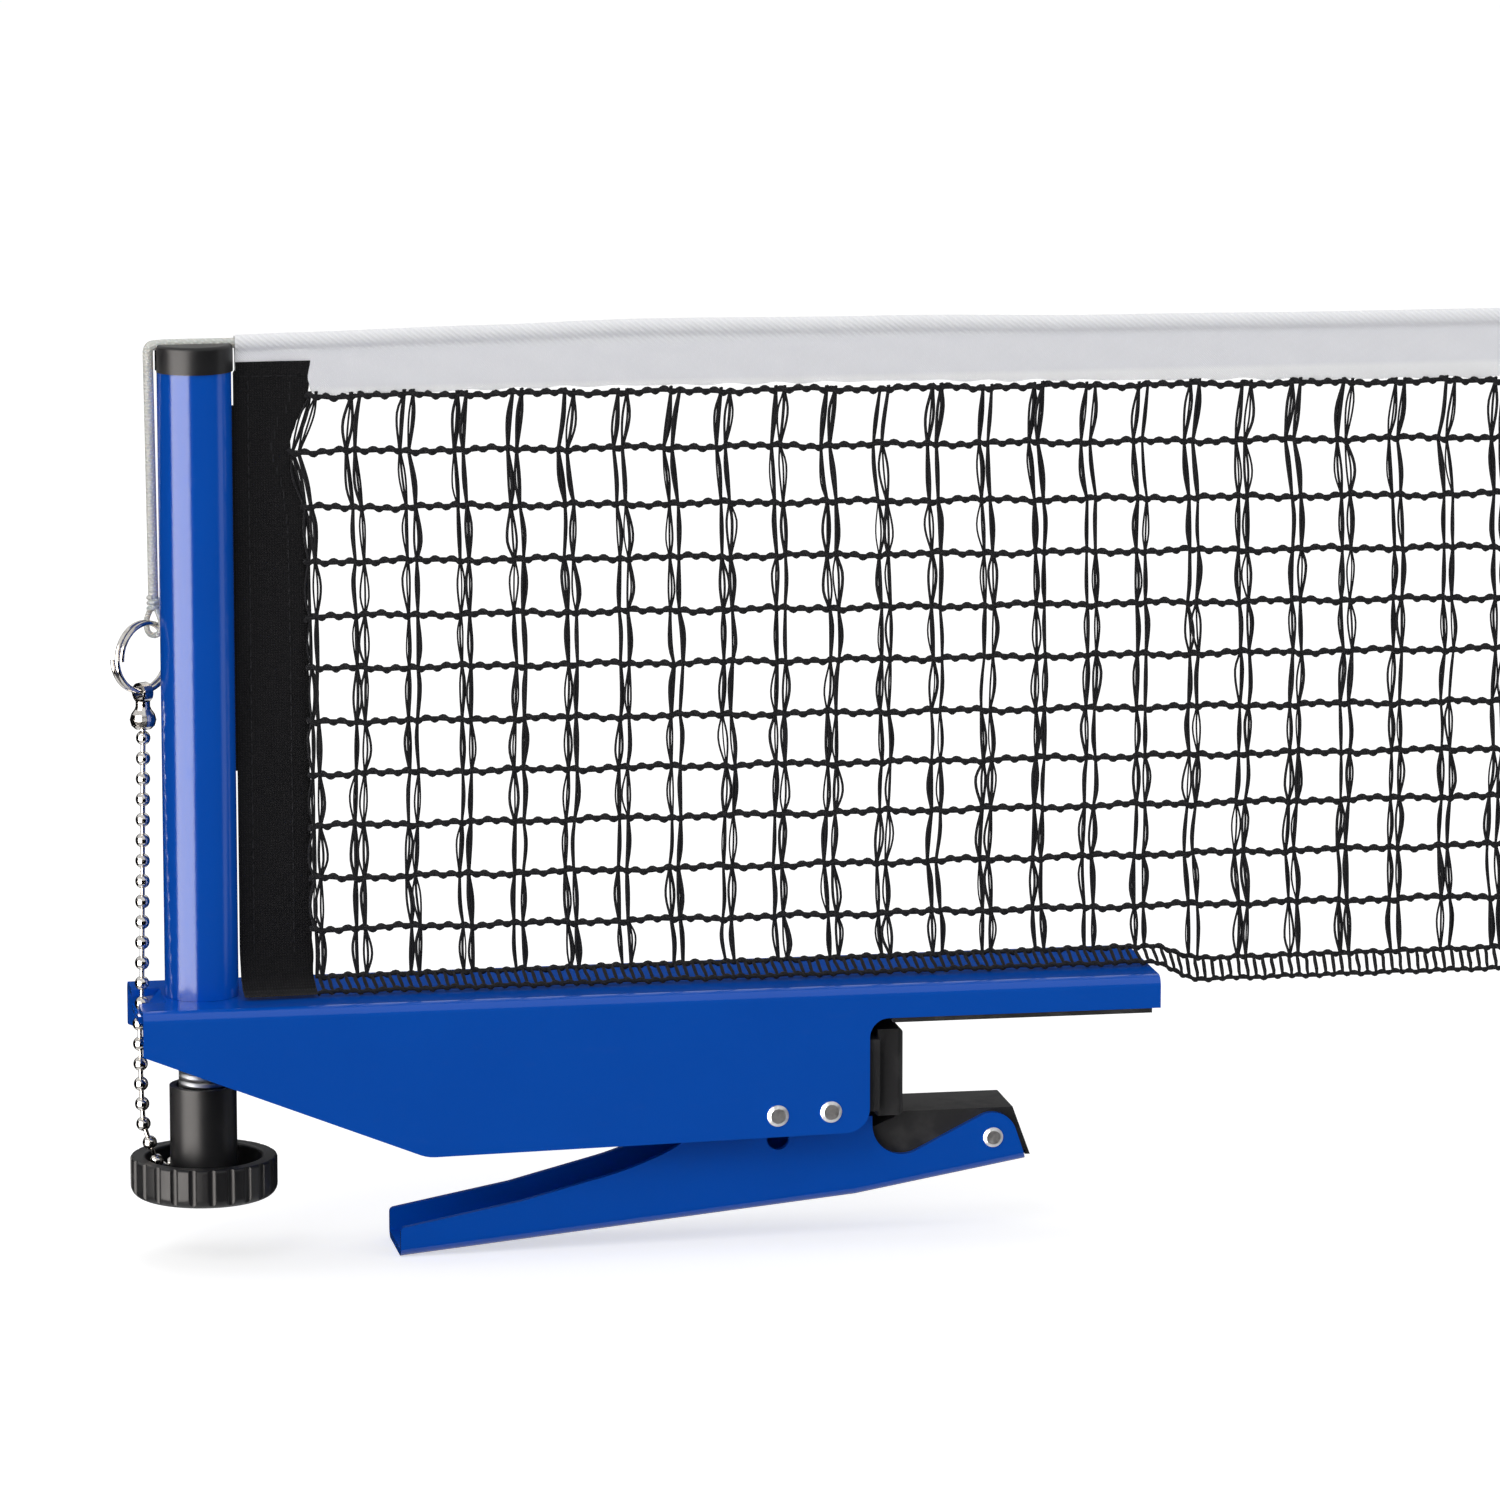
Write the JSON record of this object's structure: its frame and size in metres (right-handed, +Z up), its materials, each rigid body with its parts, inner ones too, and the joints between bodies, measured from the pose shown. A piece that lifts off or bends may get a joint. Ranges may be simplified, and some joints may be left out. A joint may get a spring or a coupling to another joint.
{
  "type": "table tennis net clamp",
  "caption": "Sprung jaw clamp that holds a table tennis net post on a table's side, with a knob that sets the net's height, a ball chain and a stretch of net.",
  "frame": {"origin": "the table's upper side edge: where the underside of the pad under the arm meets the face of the pad that stops against the table's side, on the bracket's middle plane", "axes": "+X runs along the net over the table, +Y is away from the viewer of the picture, +Z is up along the post"},
  "size_m": [0.3033, 0.0354, 0.1921],
  "materials": {
    "blue_steel": "glossy powder coat",
    "black_rubber": "matte",
    "rivet_steel": "dull, slightly uneven",
    "zinc_steel": "zinc plated",
    "spring_steel": "drawn wire",
    "black_plastic": "fine moulded grain",
    "black_cloth": "plain weave",
    "net_yarn": "knitted cord",
    "white_tape": "woven tape",
    "white_cord": "braided",
    "nickel": "nickel plated"
  },
  "bodies": {
    "bracket": {"bracket": "blue_steel", "arm_pad": "black_rubber", "stop_pad": "black_rubber", "pivot_pin": "rivet_steel", "stop_pin": "rivet_steel", "guide_pin": "rivet_steel", "stop_spacer": "zinc_steel", "pivot_spacers": "zinc_steel", "post_spigot": "zinc_steel", "spigot_washer": "zinc_steel", "spigot_nut": "zinc_steel", "split_ring": "nickel", "chain_connector": "nickel", "ball_chain": "nickel"},
    "post": {"post_tube": "blue_steel", "post_cap": "black_plastic", "lift_nut": "zinc_steel", "edge_rod": "black_plastic", "net_sleeve": "black_cloth", "net_mesh": "net_yarn", "net_tape": "white_tape", "hem_cord": "white_cord", "net_bottom_band": "net_yarn", "tension_cord": "white_cord"},
    "knob": {"knob": "black_plastic", "adjusting_screw": "zinc_steel", "thrust_washer": "zinc_steel", "screw_clip": "zinc_steel"},
    "lever": {"lever": "blue_steel", "jaw_shoe": "black_rubber", "jaw_pin": "rivet_steel", "spring_bush": "black_plastic", "lever_spring": "spring_steel"}
  },
  "joints": [
    {"name": "lever_pivot", "type": "hinge", "parent": "bracket", "child": "lever", "pos_m": [-0.0273, 0, -0.0188], "axis": [0, 1, 0], "range_deg": [0, 15], "stiffness_Nm_per_rad": 3, "springref_deg": -28.65, "deforming": ["lever_spring"]},
    {"name": "knob_spin", "type": "hinge", "parent": "bracket", "child": "knob", "pos_m": [-0.1449, 0, -0.03], "axis": [0, 0, -1], "range_deg": [0, 2880]},
    {"name": "post_lift", "type": "slide", "parent": "bracket", "child": "post", "axis": [0, 0, 1], "range_m": [0, 0.01], "deforming": ["tension_cord"]}
  ],
  "couplings": [
    {"joint": "knob_spin", "follows": "post_lift", "rad_per_m": 5026.5}
  ]
}
